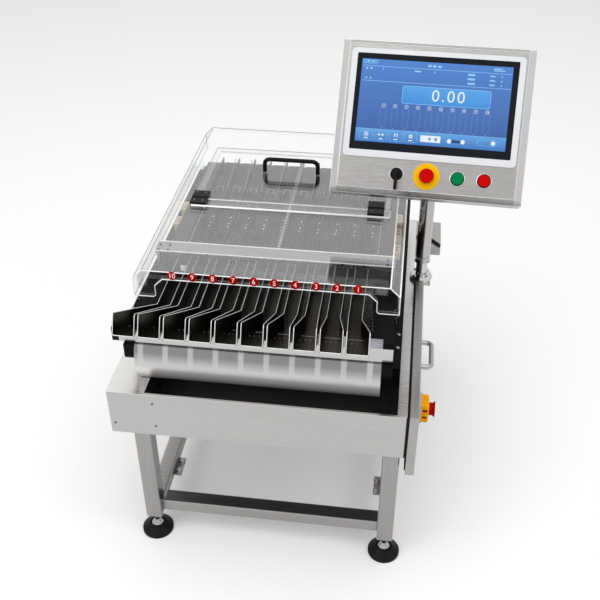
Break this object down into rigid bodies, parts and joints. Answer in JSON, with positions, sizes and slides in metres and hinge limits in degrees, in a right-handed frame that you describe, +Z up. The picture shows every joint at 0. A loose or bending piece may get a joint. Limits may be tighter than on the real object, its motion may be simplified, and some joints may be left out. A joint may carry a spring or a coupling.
{
  "type": "multi-lane checkweigher",
  "caption": "Multi-lane checkweigher on a square-tube stand: fanned chutes over a table well, belt lanes under a clear hood with a hinged lid, and a tilted touch screen on a pole.",
  "frame": {"origin": "bottom centre of the whole machine, on the floor", "axes": "+Z up, -Y the front where the products come out, +X the operator side with the door and the screen"},
  "size_m": [0.9294, 0.9819, 1.1342],
  "materials": {
    "black_plastic": "matt black",
    "bright": "polished",
    "steel": "satin brushed",
    "clear": "clear, polished edges",
    "rubber": "matt black",
    "black": "satin black",
    "green": "gloss",
    "yellow": "gloss",
    "red": "gloss",
    "belt": "matt dark green-grey",
    "display": "gloss display",
    "white_box": "fine powder coat",
    "beige": "satin beige"
  },
  "bodies": {
    "stand": {"bar_plug": "black_plastic", "button_rings": "bright", "centre_rail": "steel", "chute_bar": "steel", "chutes": "steel", "clear_dividers": "clear", "cross_strip": "steel", "door_seal": "rubber", "floor_tabs": "steel", "foot_pads": "rubber", "foot_stems": "bright", "frame_blocks": "black", "hinge_fixed_leaves": "black_plastic", "hinge_strip": "clear", "hood_feet": "clear", "hood_front_panel": "clear", "hood_shell": "clear", "key_barrel": "bright", "lane_bed": "steel", "lane_belts": "belt", "lane_walls": "steel", "legs": "steel", "lower_rails": "steel", "outer_brackets": "black", "pole": "bright", "pole_flange": "bright", "pole_ring": "rubber", "pole_shelf": "steel", "rounded_cover": "steel", "screen_box": "steel", "screen_bracket": "steel", "screen_glass": "display", "screen_surround": "white_box", "sensor_blocks": "beige", "shoulder_plates": "black", "side_cowl": "steel", "side_frames": "black", "stop_ring_plate": "yellow", "strip_posts": "steel", "table_body": "steel", "well_pan": "steel"},
    "lid": {"hood_lid": "clear", "hinge_lid_leaves": "black_plastic", "lid_handle": "black_plastic"},
    "door": {"side_door": "steel", "door_handle": "bright", "isolator_base": "yellow"},
    "isolator": {"isolator_knob": "red"},
    "stop": {"stop_button": "red"},
    "start": {"green_button": "green"},
    "halt": {"red_button": "red"},
    "key_turn": {"key": "bright"}
  },
  "joints": [
    {"name": "lid_hinge", "type": "hinge", "parent": "stand", "child": "lid", "pos_m": [-0.11766, 0.046, 0.7215], "axis": [1, 0, 0], "range_deg": [0, 75]},
    {"name": "door_hinge", "type": "hinge", "parent": "stand", "child": "door", "pos_m": [0.25544, -0.485, 0.4], "axis": [0, 0, -1], "range_deg": [0, 110]},
    {"name": "isolator_turn", "type": "hinge", "parent": "door", "child": "isolator", "pos_m": [0.28144, -0.341, 0.402], "axis": [1, 0, 0], "range_deg": [0, 90]},
    {"name": "stop_push", "type": "slide", "parent": "stand", "child": "stop", "axis": [0.0389, 0.8252, -0.5635], "range_m": [0, 0.004], "stiffness_N_per_m": 2000},
    {"name": "start_push", "type": "slide", "parent": "stand", "child": "start", "axis": [0.0389, 0.8252, -0.5635], "range_m": [0, 0.003], "stiffness_N_per_m": 1000},
    {"name": "halt_push", "type": "slide", "parent": "stand", "child": "halt", "axis": [0.0389, 0.8252, -0.5635], "range_m": [0, 0.003], "stiffness_N_per_m": 1000},
    {"name": "key_switch", "type": "hinge", "parent": "stand", "child": "key_turn", "pos_m": [0.16324, -0.09097, 0.89313], "axis": [-0.0389, -0.8252, 0.5635], "range_deg": [0, 90]}
  ]
}
